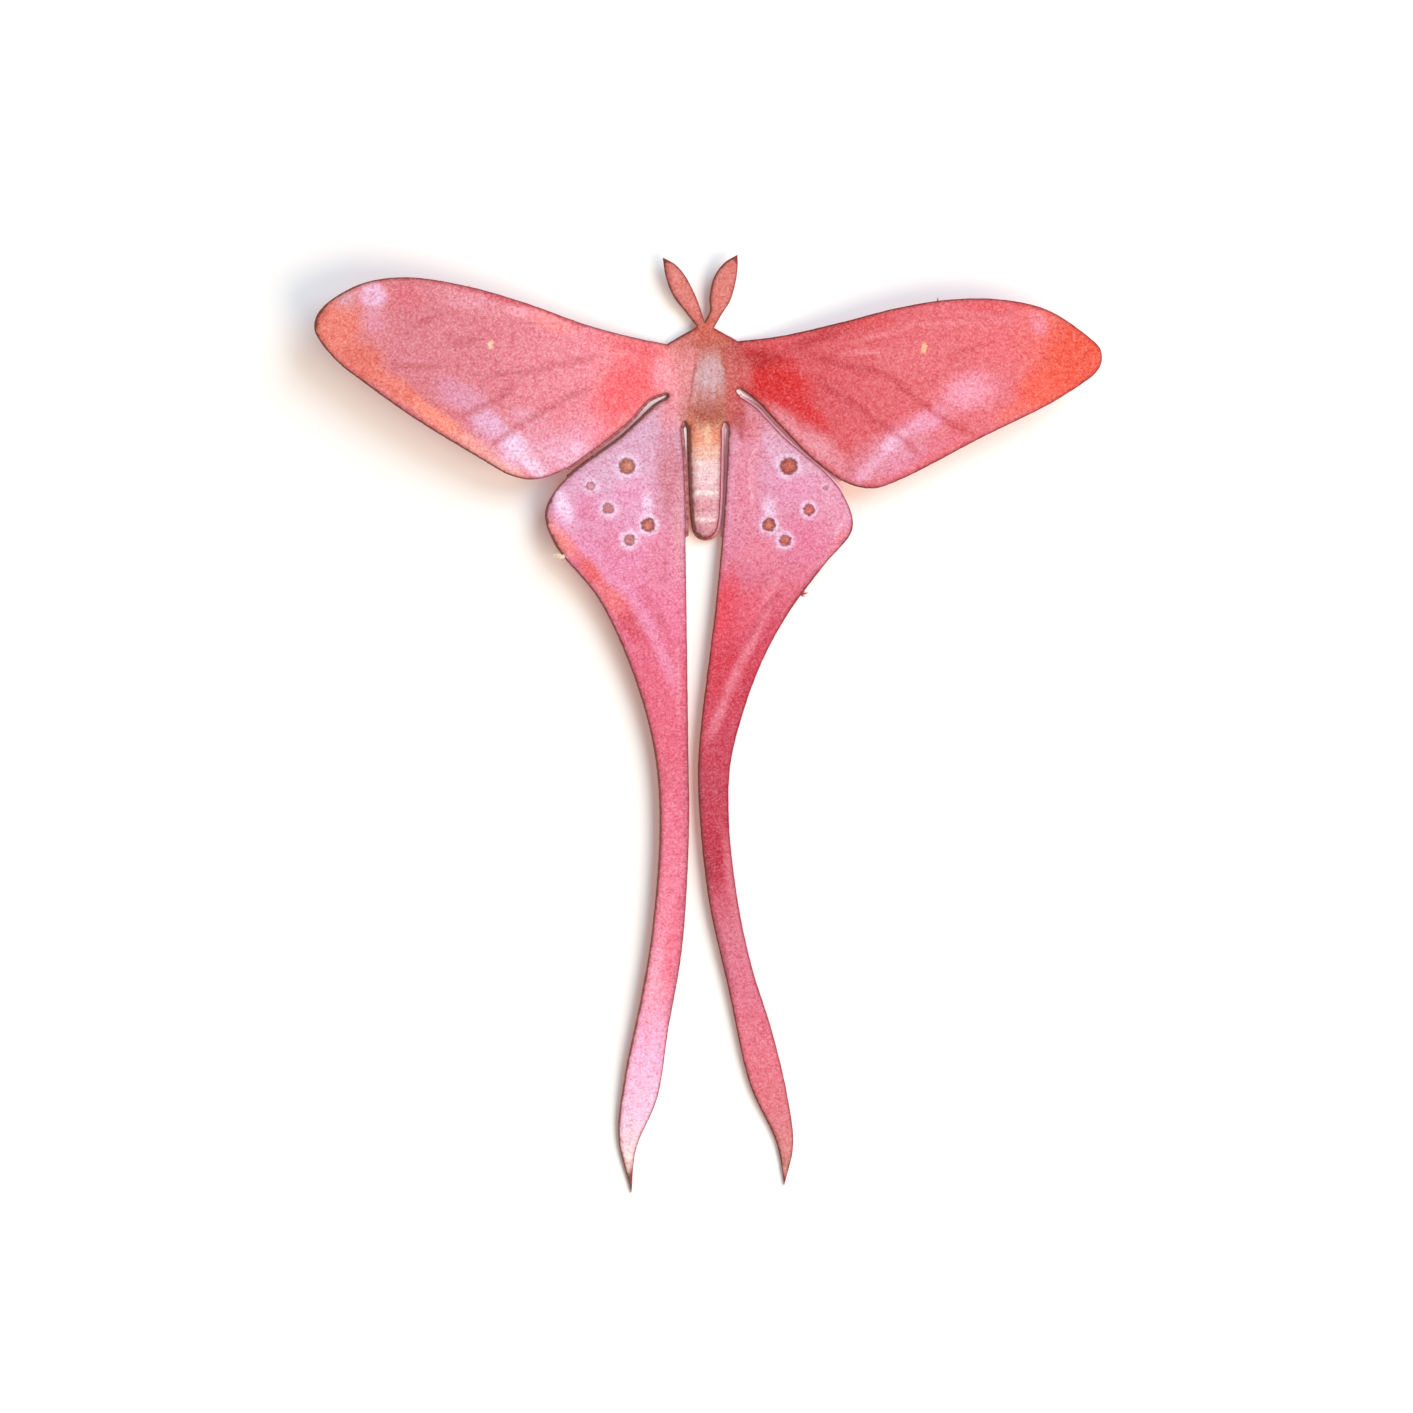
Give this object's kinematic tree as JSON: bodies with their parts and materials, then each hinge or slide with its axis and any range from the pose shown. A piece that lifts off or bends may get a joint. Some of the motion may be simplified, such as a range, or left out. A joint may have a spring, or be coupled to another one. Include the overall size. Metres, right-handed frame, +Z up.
{
  "type": "laser-cut printed card silk moth",
  "caption": "Flat card figure of a long-tailed silk moth, with lifted wings and arched tails; it lies on its flat body as a decoration.",
  "frame": {"origin": "on the flat underside of the thorax, on the midline, where the card rests on the floor", "axes": "+Y towards the head and -Y towards the tips of the tails, +X towards the moth's right-hand wings in the picture's view from above, +Z up out of the printed side"},
  "size_m": [0.1256, 0.1502, 0.0083],
  "materials": {
    "head": "satin",
    "thorax": "satin",
    "abdomen": "satin",
    "antenna_left": "satin",
    "antenna_right": "satin",
    "forewing_left": "satin",
    "forewing_right": "satin",
    "hindwing_left": "satin",
    "hindwing_right": "satin",
    "tail_left": "satin",
    "tail_right": "satin"
  },
  "bodies": {
    "root": {"head": "head", "thorax": "thorax", "abdomen": "abdomen", "antenna_left": "antenna_left", "antenna_right": "antenna_right", "forewing_left": "forewing_left", "forewing_right": "forewing_right", "hindwing_left": "hindwing_left", "hindwing_right": "hindwing_right", "tail_left": "tail_left", "tail_right": "tail_right"}
  },
  "joints": []
}
